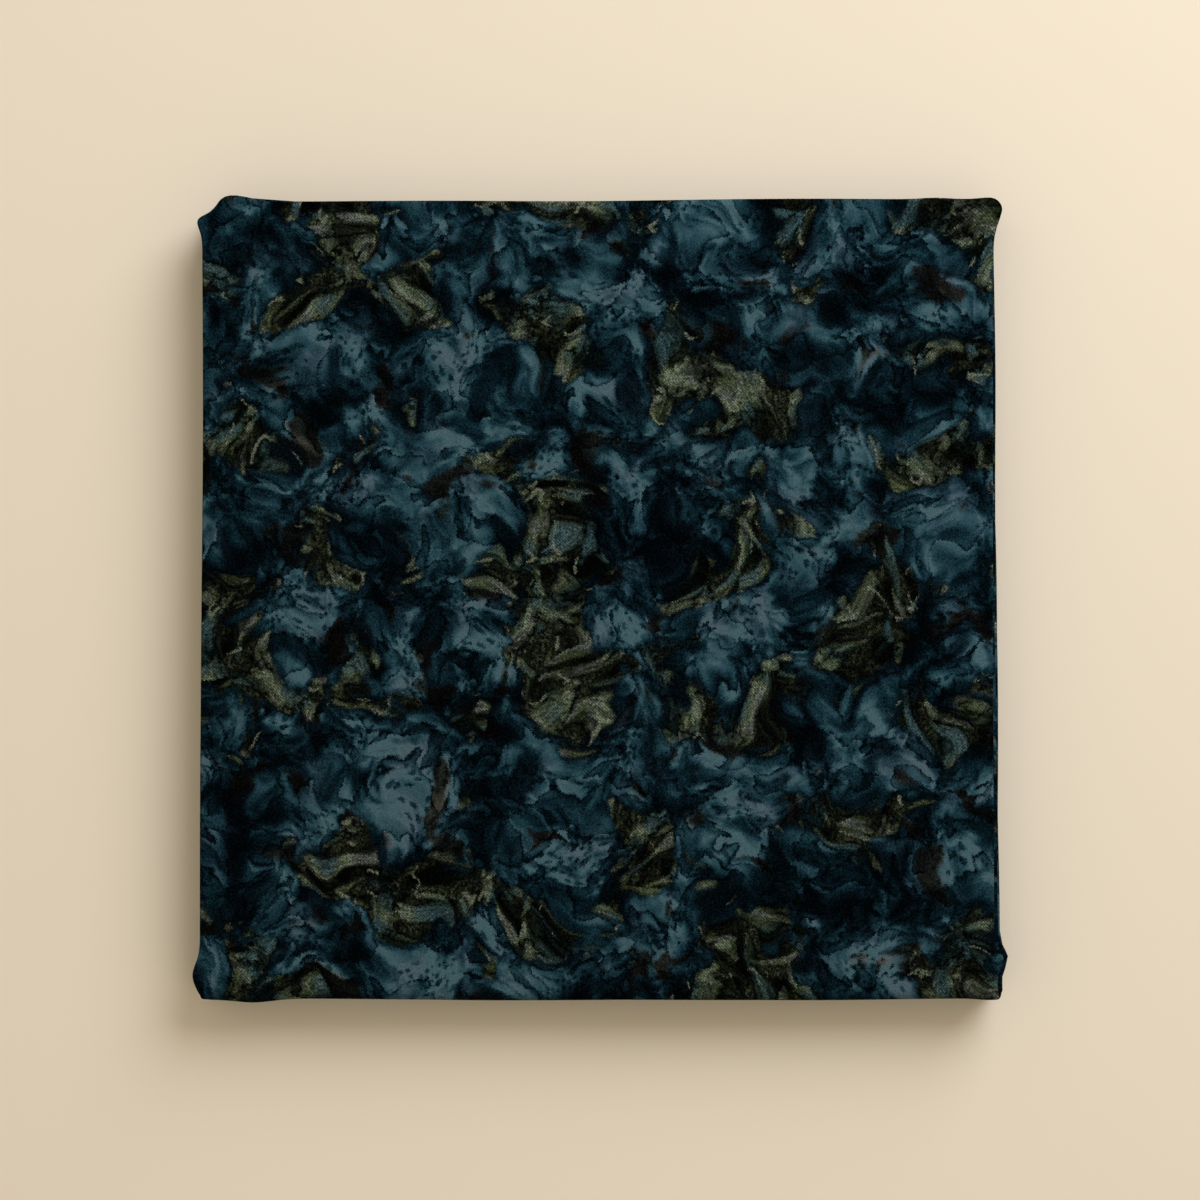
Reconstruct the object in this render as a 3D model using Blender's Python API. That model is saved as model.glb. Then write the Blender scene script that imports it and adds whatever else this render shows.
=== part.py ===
"""A length of dark mottled cotton, folded in four across its width and then back and forth into a square.

Metres, +Z up. +X is to the right and +Y to the back of someone looking down at the folded cloth.
The origin is under the middle of the block, on the surface it lies on.
"""

import math

import bmesh
import bpy
from mathutils import Vector

# Driving sizes
BLOCK_WIDTH = 0.2812          # left to right, between the straight stretches of the two sides
BLOCK_DEPTH = 0.2812          # front fold to back fold
BAND_THICKNESS = 0.00170      # the four plies of the quartered cloth, pressed together
LEVEL_PITCH = 0.00213         # from one level of the block to the next
LEVEL_COUNT = 10
TOP_HEIGHT = (LEVEL_COUNT - 1) * LEVEL_PITCH + BAND_THICKNESS

HALF_WIDTH = BLOCK_WIDTH / 2
HALF_DEPTH = BLOCK_DEPTH / 2
BAND_RADIUS = BAND_THICKNESS / 2

# The panels in the order in which the band runs through them. Each lies in its own level, counted
# from 0 at the bottom, and ends in a fold at the front or the back. The insets, in metres, say how
# far the fold and the two sides stay inside the block's outline.
PANEL_COLUMNS = ("level", "fold", "fold_inset", "left", "right_front", "right_back")
PANELS = (
    (0, "back", 0.0017, 0.0017, 0.0006, 0.0024),
    (1, "front", 0.0008, 0.0011, 0.0012, 0.0020),
    (2, "back", 0.0009, 0.0020, 0.0004, 0.0026),
    (3, "front", 0.0016, 0.0014, 0.0010, 0.0021),
    (4, "back", 0.0014, 0.0009, 0.0014, 0.0027),
    (5, "front", 0.0005, 0.0018, 0.0005, 0.0020),
    (6, "back", 0.0019, 0.0013, 0.0008, 0.0022),
    (7, "front", 0.0001, 0.0015, 0.0001, 0.0019),
    (9, "back", 0.0006, 0.0006, 0.0023, 0.0024),
    (8, "none", 0.0150, 0.0012, 0.0001, 0.0018),
)
START_INSET = 0.0022          # the cut end of the lowest panel, at the front

# Where the outline swells or draws in: the side, the place along it, the push outwards, and the
# half width of the swelling, in metres. Places run along +X on the front and back, +Y on the sides.
BULGE_COLUMNS = ("side", "place", "push", "half_width")
BULGES = (
    ("left", 0.1330, 0.0018, 0.0045),
    ("left", 0.0500, -0.0006, 0.0400),
    ("left", -0.1320, 0.0026, 0.0048),
    ("right", 0.1370, 0.0020, 0.0070),
    ("right", -0.1265, 0.0027, 0.0045),
    ("right", -0.1385, 0.0014, 0.0050),
    ("back", -0.1300, 0.0024, 0.0075),
    ("back", 0.0950, 0.0009, 0.0600),
    ("back", 0.1180, 0.0006, 0.0060),
    ("back", 0.1370, 0.0012, 0.0050),
    ("front", -0.1210, 0.0013, 0.0070),
    ("front", 0.0100, 0.0004, 0.0400),
    ("front", 0.1370, 0.0006, 0.0050),
)
BULGE_REACH = 0.020           # how far a swelling fades in from the side
BULGE_AT_BOTTOM = 0.35        # the share of a swelling that is left in the lowest level

# Corners that are drawn in along their diagonal: the signs of X and Y, the pull, the radius of the pull
CORNER_COLUMNS = ("x_sign", "y_sign", "pull", "radius")
CORNERS = (
    (-1, 1, 0.0044, 0.0040),
    (1, 1, 0.0007, 0.0030),
    (-1, -1, 0.0005, 0.0030),
    (1, -1, 0.0006, 0.0030),
)

# Soft troughs and ridges that run over the top: the middle, the direction in degrees from +X,
# the half length, the half width, and the height, which is negative in a trough
CREASE_COLUMNS = ("x", "y", "turn", "half_length", "half_width", "height")
CREASES = (
    (-0.062, -0.070, 92, 0.050, 0.0120, -0.00030),
    (0.045, 0.030, 8, 0.080, 0.0260, 0.00045),
    (-0.040, 0.075, 160, 0.060, 0.0220, -0.00035),
    (0.085, -0.060, 75, 0.060, 0.0240, 0.00040),
    (-0.095, 0.010, 100, 0.070, 0.0280, 0.00035),
    (0.020, -0.110, 3, 0.080, 0.0160, -0.00030),
)
EDGE_DROP = 0.0008            # how much lower the block is along its rim than in its middle
EDGE_DROP_REACH = 0.012

# Slow waves that leave the inner levels uneven: how far they rise, how many half waves fit between
# the underside and the top, the wave's length along X and along Y, and its shift in radians
WAVE_COLUMNS = ("rise", "half_waves", "x_length", "y_length", "shift")
WAVES = (
    (0.00030, 2, 0.190, 0.260, 0.4),
    (0.00022, 3, 0.110, 0.170, 1.9),
    (0.00011, 5, 0.072, 0.095, 3.3),
)
WAVER = 0.0005                # how far the rims of the lower levels wander in and out
WAVER_LENGTH = 0.115          # along the rim
WAVER_LEVELS = 3.3            # levels from one wandering to the next like it

# Where the cross-sections and the points of each section lie, as shares of a panel's length and width
STATIONS = (0.0, 0.012, 0.030, 0.060, 0.16, 0.50, 0.84, 0.940, 0.970, 0.988, 1.0)
FOLD_STEPS = 4
SIDE_STEPS = 3

CLOTH_COLOUR = (0.0105, 0.0190, 0.0225, 1.0)
CLOTH_ROUGHNESS = 0.88


def rows(columns, table):
    """Each row of a table as a dictionary with the column names as keys."""
    return [dict(zip(columns, row)) for row in table]


def level_height(level):
    """The height of the middle of the band in one level."""
    return BAND_RADIUS + level * LEVEL_PITCH


def band_path():
    """Stations along the middle of the band: place in Y and Z, normal, and the insets of both sides."""
    path = []
    panels = rows(PANEL_COLUMNS, PANELS)
    heading = 1
    begin = -HALF_DEPTH + START_INSET
    for number, panel in enumerate(panels):
        height = level_height(panel["level"])
        is_last = number == len(panels) - 1
        if is_last:
            end = heading * (HALF_DEPTH - panel["fold_inset"])
        else:
            following = panels[number + 1]
            radius = abs(level_height(following["level"]) - height) / 2
            end = heading * (HALF_DEPTH - panel["fold_inset"] - BAND_RADIUS - radius)
        for share in STATIONS:
            along = begin + (end - begin) * share
            path.append((along, height, Vector((0.0, 0.0, heading)), panel))
        if not is_last:
            path.extend(fold_stations(panel, following, end, heading))
            begin = end
            heading = -heading
    return path


def fold_stations(panel, following, centre, heading):
    """The stations between two panels, round a fold whose middle is at the given place in Y."""
    stations = []
    height = level_height(panel["level"])
    rise = level_height(following["level"]) - height
    radius = abs(rise) / 2
    for step in range(1, FOLD_STEPS):
        share = step / FOLD_STEPS
        turn = math.pi * share
        along = centre + heading * radius * math.sin(turn)
        up = height + rise / 2 * (1 - math.cos(turn))
        normal = Vector((0.0, -math.copysign(math.sin(turn), rise), heading * math.cos(turn)))
        sides = {name: panel[name] * (1 - share) + following[name] * share
                 for name in ("left", "right_front", "right_back")}
        stations.append((along, up, normal, sides))
    return stations


def section_points():
    """The outline of the band: share of the width, step out past that, and height, in band radii."""
    points = [(share, 0.0, 1.0) for share in STATIONS]
    for step in range(1, SIDE_STEPS):
        turn = math.pi * step / SIDE_STEPS
        points.append((1.0, math.sin(turn), math.cos(turn)))
    points += [(share, 0.0, -1.0) for share in reversed(STATIONS)]
    for step in range(1, SIDE_STEPS):
        turn = math.pi * step / SIDE_STEPS
        points.append((0.0, -math.sin(turn), -math.cos(turn)))
    return points


def bell(distance, half_width):
    """A smooth hump of height 1 that has fallen to a half at the half width."""
    return 0.5 ** ((distance / half_width) ** 2)


def outline_push(x, y, up):
    """How far a point moves in X and Y, by the swellings, the corners and the wandering of the rims."""
    push = Vector((0.0, 0.0))
    strength = BULGE_AT_BOTTOM + (1 - BULGE_AT_BOTTOM) * up
    frames = {
        "left": (HALF_WIDTH + x, y, Vector((-1, 0))),
        "right": (HALF_WIDTH - x, y, Vector((1, 0))),
        "front": (HALF_DEPTH + y, x, Vector((0, -1))),
        "back": (HALF_DEPTH - y, x, Vector((0, 1))),
    }
    for bulge in rows(BULGE_COLUMNS, BULGES):
        inward, along, outward = frames[bulge["side"]]
        fade = bell(max(inward, 0.0), BULGE_REACH / 2) * bell(along - bulge["place"], bulge["half_width"])
        push += outward * bulge["push"] * fade * strength
    for inward, along, outward in frames.values():
        turn = math.tau * (along / WAVER_LENGTH + up * LEVEL_COUNT / WAVER_LEVELS)
        push += outward * WAVER * math.sin(turn) * bell(max(inward, 0.0), BULGE_REACH / 2) * (1 - up ** 4)
    for corner in rows(CORNER_COLUMNS, CORNERS):
        away = Vector((corner["x_sign"] * HALF_WIDTH - x, corner["y_sign"] * HALF_DEPTH - y)).length
        inwards = Vector((-corner["x_sign"], -corner["y_sign"])).normalized()
        push += inwards * corner["pull"] * bell(away, corner["radius"]) * strength
    return push


def top_swell(x, y):
    """How far the top of the block stands above or below its flat height."""
    swell = 0.0
    for crease in rows(CREASE_COLUMNS, CREASES):
        turn = math.radians(crease["turn"])
        east, north = x - crease["x"], y - crease["y"]
        along = east * math.cos(turn) + north * math.sin(turn)
        across = north * math.cos(turn) - east * math.sin(turn)
        swell += crease["height"] * bell(along, crease["half_length"]) * bell(across, crease["half_width"])
    rim = min(HALF_WIDTH - abs(x), HALF_DEPTH - abs(y))
    return swell - EDGE_DROP * bell(max(rim, 0.0), EDGE_DROP_REACH)


def level_wave(x, y, up):
    """How far a point inside the block rises or sinks with the slow waves of the levels."""
    return sum(wave["rise"] * math.sin(math.pi * wave["half_waves"] * up)
               * math.sin(math.tau * (x / wave["x_length"] + y / wave["y_length"]) + wave["shift"])
               for wave in rows(WAVE_COLUMNS, WAVES))


def settle(point):
    """Moves a point of the even block to where the cloth really lies. The underside stays level."""
    up = point.z / TOP_HEIGHT
    push = outline_push(point.x, point.y, up)
    rise = up * top_swell(point.x, point.y) + level_wave(point.x, point.y, up)
    return Vector((point.x + push.x, point.y + push.y, point.z + rise))


def band_rings():
    """The rings of points of all cross-sections, from the cut end below to the tucked end."""
    rings = []
    for along, up, normal, sides in band_path():
        back_share = (along + HALF_DEPTH) / BLOCK_DEPTH
        right = sides["right_front"] * (1 - back_share) + sides["right_back"] * back_share
        left_edge = -HALF_WIDTH + sides["left"] + BAND_RADIUS
        right_edge = HALF_WIDTH - right - BAND_RADIUS
        ring = []
        for share, outward, height in section_points():
            x = left_edge + (right_edge - left_edge) * share + outward * BAND_RADIUS
            middle = Vector((x, along, up))
            ring.append(settle(middle + normal * (height * BAND_RADIUS)))
        rings.append(ring)
    return rings


def cap_faces(ring):
    """Closes a cut end with a strip of four-sided faces between the upper and the lower row."""
    count = len(STATIONS)
    upper = ring[:count]
    right_side = ring[count:count + SIDE_STEPS - 1]
    lower = list(reversed(ring[count + SIDE_STEPS - 1:2 * count + SIDE_STEPS - 1]))
    left_side = ring[2 * count + SIDE_STEPS - 1:]
    faces = [(upper[n], upper[n + 1], lower[n + 1], lower[n]) for n in range(count - 1)]
    faces.append((upper[-1], *right_side, lower[-1]))
    faces.append((lower[0], *left_side, upper[0]))
    return faces


def folded_cloth_mesh():
    """The whole band as one closed mesh."""
    shape = bmesh.new()
    rings = [[shape.verts.new(point) for point in ring] for ring in band_rings()]
    for ring, following in zip(rings, rings[1:]):
        size = len(ring)
        for number in range(size):
            after = (number + 1) % size
            shape.faces.new((ring[number], ring[after], following[after], following[number]))
    for face in cap_faces(rings[0]) + cap_faces(rings[-1]):
        shape.faces.new(face)
    bmesh.ops.triangulate(shape, faces=shape.faces[:])
    bmesh.ops.recalc_face_normals(shape, faces=shape.faces[:])
    mesh = bpy.data.meshes.new("folded_cloth")
    shape.to_mesh(mesh)
    shape.free()
    mesh.shade_smooth()
    mesh.set_sharp_from_angle(angle=math.radians(50))
    return mesh


def cotton_material():
    """Plain dark cotton in the cloth's mean colour."""
    material = bpy.data.materials.new("mottled_cotton")
    material.use_nodes = True
    shader = material.node_tree.nodes["Principled BSDF"]
    shader.inputs["Base Color"].default_value = CLOTH_COLOUR
    shader.inputs["Roughness"].default_value = CLOTH_ROUGHNESS
    shader.inputs["Metallic"].default_value = 0.0
    return material


def main():
    for thing in list(bpy.data.objects):
        bpy.data.objects.remove(thing, do_unlink=True)
    cloth = bpy.data.objects.new("folded_cloth", folded_cloth_mesh())
    cloth.data.materials.append(cotton_material())
    bpy.context.scene.collection.objects.link(cloth)


main()
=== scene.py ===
import math

import bpy
import numpy as np
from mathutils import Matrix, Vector


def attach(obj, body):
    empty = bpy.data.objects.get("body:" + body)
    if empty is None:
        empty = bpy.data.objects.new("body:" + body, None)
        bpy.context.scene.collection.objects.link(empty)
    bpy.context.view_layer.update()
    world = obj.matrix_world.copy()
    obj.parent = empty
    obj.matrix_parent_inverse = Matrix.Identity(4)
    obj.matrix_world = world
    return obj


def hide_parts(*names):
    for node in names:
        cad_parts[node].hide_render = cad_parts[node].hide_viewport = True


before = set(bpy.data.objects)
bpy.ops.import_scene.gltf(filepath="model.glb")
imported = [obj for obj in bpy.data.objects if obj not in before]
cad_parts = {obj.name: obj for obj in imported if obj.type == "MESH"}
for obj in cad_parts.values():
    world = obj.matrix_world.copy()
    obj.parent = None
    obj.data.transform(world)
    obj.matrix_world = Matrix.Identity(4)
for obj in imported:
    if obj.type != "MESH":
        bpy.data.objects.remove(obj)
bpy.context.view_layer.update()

# One length of cotton, quartered across its width, then laid back and forth in ten levels.
# Metres throughout. +X is to the right of someone looking down at it, +Y to the back.
foldedCloth = {
    "width": 0.2812,
    "depth": 0.2812,
    "bandThickness": 0.00170,      # the four plies together
    "levelPitch": 0.00213,
    "levels": 10,
    "plyThickness": 0.00030,
    "plyPitch": 0.00045,
    "startInset": 0.0022,          # the cut end of the lowest panel
    # each panel in the order of the band, with the fold it ends in and how far its rims lie in
    "panelColumns": ("level", "fold", "foldInset", "left", "rightFront", "rightBack"),
    "panels": (
        (0, "back", 0.0017, 0.0017, 0.0006, 0.0024),
        (1, "front", 0.0008, 0.0011, 0.0012, 0.0020),
        (2, "back", 0.0009, 0.0020, 0.0004, 0.0026),
        (3, "front", 0.0016, 0.0014, 0.0010, 0.0021),
        (4, "back", 0.0014, 0.0009, 0.0014, 0.0027),
        (5, "front", 0.0005, 0.0018, 0.0005, 0.0020),
        (6, "back", 0.0019, 0.0013, 0.0008, 0.0022),
        (7, "front", 0.0001, 0.0015, 0.0001, 0.0019),
        (9, "back", 0.0006, 0.0006, 0.0023, 0.0024),
        (8, "none", 0.0150, 0.0012, 0.0001, 0.0018),
    ),
    # where the outline swells or draws in: place along the side, push outwards, half width
    "bulgeColumns": ("side", "place", "push", "halfWidth"),
    "bulges": (
        ("left", 0.1335, 0.0024, 0.0040),
        ("left", 0.0500, -0.0006, 0.0400),
        ("left", -0.1320, 0.0026, 0.0048),
        ("right", 0.1375, 0.0042, 0.0060),
        ("right", -0.1265, 0.0034, 0.0040),
        ("right", -0.1385, 0.0014, 0.0050),
        ("back", -0.1300, 0.0024, 0.0075),
        ("back", 0.0950, 0.0009, 0.0600),
        ("back", 0.1180, 0.0006, 0.0060),
        ("back", 0.1370, 0.0012, 0.0050),
        ("front", -0.1210, 0.0013, 0.0070),
        ("front", 0.0100, 0.0004, 0.0400),
        ("front", 0.1370, 0.0006, 0.0050),
    ),
    "bulgeReach": 0.020,
    "bulgeAtBottom": 0.35,
    "cornerColumns": ("xSign", "ySign", "pull", "radius"),
    "corners": (
        (-1, 1, 0.0054, 0.0048),
        (1, 1, 0.0034, 0.0034),
        (-1, -1, 0.0005, 0.0030),
        (1, -1, 0.0006, 0.0030),
    ),
    # soft troughs and ridges on top: middle, turn in degrees, half length, half width, height
    "creaseColumns": ("x", "y", "turn", "halfLength", "halfWidth", "height"),
    "creases": (
        (-0.062, -0.070, 92, 0.050, 0.0120, -0.00030),
        (0.045, 0.030, 8, 0.080, 0.0260, 0.00045),
        (-0.040, 0.075, 160, 0.060, 0.0220, -0.00035),
        (0.085, -0.060, 75, 0.060, 0.0240, 0.00040),
        (-0.095, 0.010, 100, 0.070, 0.0280, 0.00035),
        (0.020, -0.110, 3, 0.080, 0.0160, -0.00030),
    ),
    "edgeDrop": 0.0008,
    "edgeDropReach": 0.012,
    # slow waves in the levels: rise, half waves from bottom to top, lengths, shift in radians
    "waveColumns": ("rise", "halfWaves", "xLength", "yLength", "shift"),
    "waves": (
        (0.00030, 2, 0.190, 0.260, 0.4),
        (0.00022, 3, 0.110, 0.170, 1.9),
        (0.00011, 5, 0.072, 0.095, 3.3),
    ),
    # the sides of the lower levels waver in and out
    "waver": 0.0005,
    "waverLength": 0.115,
    "waverLevels": 3.3,
    "waverFade": 4,                # a power of the height: the top level doesn't waver
    # how far the inner folds and the woven edges stay behind the rim: a wander's mean, swing, length, shift
    "innerFold": (0.0012, 0.0008, 0.310, 4.0),
    "topFold": (0.0003, 0.0003, 0.430, 2.2),
    "firstEdge": (0.0006, 0.0006, 0.370, 0.0),
    "secondEdge": (0.0009, 0.0008, 0.520, 1.3),
    # how finely each stretch is divided
    "topSteps": 84,
    "panelSteps": 33,
    "outerPlySteps": 52,
    "underPlySteps": 18,
    "innerPlySteps": 8,
    "outerBendSteps": 10,
    "innerBendSteps": 6,
    "foldSteps": 6,
    "wideFoldSteps": 10,
    "crowding": 5.0,
    "crowdingReach": 0.06,
    "sharpAngle": 60,
}


# An object in the scene that shows this mesh, lamp or camera.
def addObject(name, data):
    newObject = bpy.data.objects.new(name, data)
    bpy.context.scene.collection.objects.link(newObject)
    return newObject


# A table's rows as dictionaries, keyed by its columns.
def rowsOf(piece, name):
    columns = piece[name[:-1] + "Columns"]
    return [dict(zip(columns, row)) for row in piece[name]]


# Shares from 0 to 1, several times closer together near both ends, where the rims swell.
def spread(piece, steps):
    reach, samples = piece["crowdingReach"], 400
    fine = np.linspace(0.0, 1.0, samples)
    density = 1 + piece["crowding"] * (np.exp(-fine / reach) + np.exp((fine - 1) / reach))
    total = np.concatenate([[0.0], np.cumsum((density[1:] + density[:-1]) / 2)])
    return np.interp(np.linspace(0.0, total[-1], steps + 1), total, fine)


# A hump of height 1 that has fallen to a half at the half width.
def bell(distance, halfWidth):
    return 0.5 ** ((distance / halfWidth) ** 2)


# The middle of the band, seen from its side: places, normals, insets and the panel or fold number.
def bandPath(piece):
    panels = rowsOf(piece, "panels")
    insets = [np.array([panel[name] for name in ("left", "rightFront", "rightBack")]) for panel in panels]
    radiusOfBand = piece["bandThickness"] / 2
    heights = [radiusOfBand + panel["level"] * piece["levelPitch"] for panel in panels]
    path = {"y": [], "z": [], "normalY": [], "normalZ": [], "insets": [], "stretch": []}
    topLevel = piece["levels"] - 1

    def put(y, z, normalY, normalZ, insets, stretch):
        for name, value in zip(path, (y, z, normalY, normalZ, insets, stretch)):
            path[name].append(value)

    heading, begin = 1, -piece["depth"] / 2 + piece["startInset"]
    for number, panel in enumerate(panels):
        isLast = number == len(panels) - 1
        reach = piece["depth"] / 2 - panel["foldInset"]
        radius = 0 if isLast else abs(heights[number + 1] - heights[number]) / 2
        end = heading * (reach if isLast else reach - radiusOfBand - radius)
        steps = piece["topSteps"] if panel["level"] == topLevel else piece["panelSteps"]
        for share in spread(piece, steps):
            put(begin + (end - begin) * share, heights[number], 0, heading, insets[number], ("panel", number))
        if isLast:
            break
        following = panels[number + 1]
        rise = heights[number + 1] - heights[number]
        isWide = abs(following["level"] - panel["level"]) > 1
        foldSteps = piece["wideFoldSteps" if isWide else "foldSteps"]
        for step in range(1, foldSteps):
            share = step / foldSteps
            turn = math.pi * share
            y = end + heading * radius * math.sin(turn)
            z = heights[number] + rise / 2 * (1 - math.cos(turn))
            normalY = -math.copysign(math.sin(turn), rise)
            normalZ = heading * math.cos(turn)
            between = insets[number] * (1 - share) + insets[number + 1] * share
            put(y, z, normalY, normalZ, between, ("fold", number))
        begin, heading = end, -heading
    stretches = path.pop("stretch")
    path = {name: np.array(values, float) for name, values in path.items()}
    path["stretch"] = stretches
    steps = np.hypot(np.diff(path["y"]), np.diff(path["z"]))
    path["length"] = np.concatenate([[0.0], np.cumsum(steps)])
    return path


# A slow wander in and out along the band, never outside the rim. It swells and fades over several waves.
def wander(sizes, length):
    mean, swing, wave, shift = sizes
    wavesToSwell = 3.7
    turn = math.tau * length / wave
    return mean + swing * np.sin(turn + shift) * np.cos(turn / wavesToSwell)


# The cut across the band: one row for each point along the ply, one column for each station.
# x is the place, height and normals are measured from the band's middle, flat runs along the cloth.
def bandSection(piece, path):
    half, pitch = piece["plyThickness"] / 2, piece["plyPitch"]
    left, rightFront, rightBack = path["insets"].T
    backShare = (path["y"] + piece["depth"] / 2) / piece["depth"]
    leftRim = -piece["width"] / 2 + left
    rightRim = piece["width"] / 2 - rightFront * (1 - backShare) - rightBack * backShare
    length = path["length"]
    outer, inner = 1.5 * pitch, 0.5 * pitch    # the heights of the four plies, above and below the middle
    firstEdge = rightRim - wander(piece["firstEdge"], length)
    secondEdge = rightRim - wander(piece["secondEdge"], length)
    outerFold = leftRim + half + outer
    topFold = rightRim - wander(piece["topFold"], length) - half - inner
    innerFold = leftRim + half + outer + wander(piece["innerFold"], length)

    columns = []

    def flat(steps, start, end, height, up, name):
        for share in spread(piece, steps):
            columns.append((start * (1 - share) + end * share, height, 0.0, up, name))

    # turn is the angle from +X round to +Z at which the fold begins, sweep how far it goes
    def bend(steps, middle, height, radius, turn, sweep, name):
        outward = -math.copysign(1.0, sweep)
        for step in range(1, steps):
            angle = turn + sweep * step / steps
            x = middle + radius * math.cos(angle)
            columns.append((x, height + radius * math.sin(angle),
                            outward * math.cos(angle), outward * math.sin(angle), name))

    quarter = math.pi / 2
    outerSteps, innerSteps = piece["outerBendSteps"], piece["innerBendSteps"]
    flat(piece["underPlySteps"], firstEdge, outerFold, -outer, -1.0, "under")
    bend(outerSteps, outerFold, 0.0, outer, -quarter, -math.pi, "leftFold")
    flat(piece["outerPlySteps"], outerFold, topFold, outer, 1.0, "over")
    bend(innerSteps, topFold, pitch, inner, quarter, -math.pi, "rightFold")
    flat(piece["innerPlySteps"], topFold, innerFold, inner, -1.0, "inner")
    bend(innerSteps, innerFold, 0.0, inner, quarter, math.pi, "innerFold")
    flat(piece["innerPlySteps"], innerFold, secondEdge, -inner, 1.0, "inner")

    section = {
        "x": np.array([column[0] for column in columns]),
        "height": np.array([column[1] for column in columns])[:, None],
        "normalX": np.array([column[2] for column in columns])[:, None],
        "normalUp": np.array([column[3] for column in columns])[:, None],
        "stretch": [column[4] for column in columns],
    }
    across = section["x"].mean(axis=1)
    steps = np.hypot(np.diff(across), np.diff(section["height"][:, 0]))
    section["flat"] = np.concatenate([[0.0], np.cumsum(steps)])
    return section


# Moves the points of an even block to where the cloth lies. The underside stays level.
def settle(piece, x, y, z):
    topHeight = (piece["levels"] - 1) * piece["levelPitch"] + piece["bandThickness"]
    up = z / topHeight
    halfWidth, halfDepth = piece["width"] / 2, piece["depth"] / 2
    strength = piece["bulgeAtBottom"] + (1 - piece["bulgeAtBottom"]) * up
    sides = {
        "left": (halfWidth + x, y, -1, 0),
        "right": (halfWidth - x, y, 1, 0),
        "front": (halfDepth + y, x, 0, -1),
        "back": (halfDepth - y, x, 0, 1),
    }
    fade = {name: bell(np.maximum(side[0], 0), piece["bulgeReach"] / 2) for name, side in sides.items()}
    pushX, pushY = np.zeros_like(x), np.zeros_like(x)
    for bulge in rowsOf(piece, "bulges"):
        along, outX, outY = sides[bulge["side"]][1:]
        near = bell(along - bulge["place"], bulge["halfWidth"])
        push = bulge["push"] * fade[bulge["side"]] * near * strength
        pushX += outX * push
        pushY += outY * push
    for name, side in sides.items():
        along, outX, outY = side[1:]
        turn = math.tau * (along / piece["waverLength"] + up * piece["levels"] / piece["waverLevels"])
        push = piece["waver"] * np.sin(turn) * fade[name] * (1 - up ** piece["waverFade"])
        pushX += outX * push
        pushY += outY * push
    for corner in rowsOf(piece, "corners"):
        away = np.hypot(corner["xSign"] * halfWidth - x, corner["ySign"] * halfDepth - y)
        push = corner["pull"] * bell(away, corner["radius"]) * strength * math.sqrt(0.5)
        pushX -= corner["xSign"] * push
        pushY -= corner["ySign"] * push
    rim = np.minimum(halfWidth - np.abs(x), halfDepth - np.abs(y))
    rise = -piece["edgeDrop"] * bell(np.maximum(rim, 0), piece["edgeDropReach"])
    for crease in rowsOf(piece, "creases"):
        turn = math.radians(crease["turn"])
        east, north = x - crease["x"], y - crease["y"]
        along = east * math.cos(turn) + north * math.sin(turn)
        across = north * math.cos(turn) - east * math.sin(turn)
        rise += crease["height"] * bell(along, crease["halfLength"]) * bell(across, crease["halfWidth"])
    rise *= up
    for wave in rowsOf(piece, "waves"):
        slope = math.tau * (x / wave["xLength"] + y / wave["yLength"]) + wave["shift"]
        rise += wave["rise"] * np.sin(math.pi * wave["halfWaves"] * up) * np.sin(slope)
    return x + pushX, y + pushY, z + rise


# Rings of points round the ply's own thickness, one ring for each station along the band.
def clothPoints(piece, path, section):
    faces = []
    for side in (1, -1):
        step = side * piece["plyThickness"] / 2
        x = section["x"] + section["normalX"] * step
        height = section["height"] + section["normalUp"] * step
        y = path["y"] + path["normalY"] * height
        z = path["z"] + path["normalZ"] * height
        faces.append(np.stack(settle(piece, x, y, z), axis=-1))
    outer, inner = faces
    return np.concatenate([outer, inner[::-1]]).transpose(1, 0, 2)


# Four-sided faces between neighbouring rings, and a strip that closes each cut end.
def clothFaces(stations, across):
    ring = 2 * across
    station, spot = np.meshgrid(np.arange(stations - 1), np.arange(ring), indexing="ij")
    after = (spot + 1) % ring
    walls = np.stack([station * ring + spot, (station + 1) * ring + spot,
                      (station + 1) * ring + after, station * ring + after], axis=-1).reshape(-1, 4)
    strip = np.arange(across - 1)
    cap = np.stack([strip, strip + 1, ring - 2 - strip, ring - 1 - strip], axis=-1)
    lastRing = (stations - 1) * ring
    return np.concatenate([walls, cap, cap[:, ::-1] + lastRing])


def buildCloth(piece):
    path = bandPath(piece)
    section = bandSection(piece, path)
    points = clothPoints(piece, path, section)
    stations, ring = points.shape[:2]
    faces = clothFaces(stations, ring // 2)
    mesh = bpy.data.meshes.new("foldedCloth")
    mesh.from_pydata(points.reshape(-1, 3).tolist(), [], faces.tolist())
    layFlatMap(mesh, path, section, ring)
    layPictureMap(mesh, piece, pictureMap, path, section, ring)
    mesh.shade_smooth()
    mesh.set_sharp_from_angle(angle=math.radians(piece["sharpAngle"]))
    cloth = addObject("foldedCloth", mesh)
    flatSize = (float(section["flat"][-1]), float(path["length"][-1]))
    print("foldedCloth:", len(mesh.polygons), "faces, cut", [round(size, 3) for size in flatSize])
    return cloth, flatSize


# Where each point lies on the cloth spread out flat, in metres, so that the dye runs on round the folds.
def layFlatMap(mesh, path, section, ring):
    flat = np.concatenate([section["flat"], section["flat"][::-1]])
    vertex = np.empty(len(mesh.loops), np.int32)
    mesh.loops.foreach_get("vertex_index", vertex)
    spots = np.stack([flat[vertex % ring], path["length"][vertex // ring]], axis=-1)
    layer = mesh.uv_layers.new(name="flatCloth")
    layer.uv.foreach_set("vector", spots.astype(np.float32).ravel())


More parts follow.
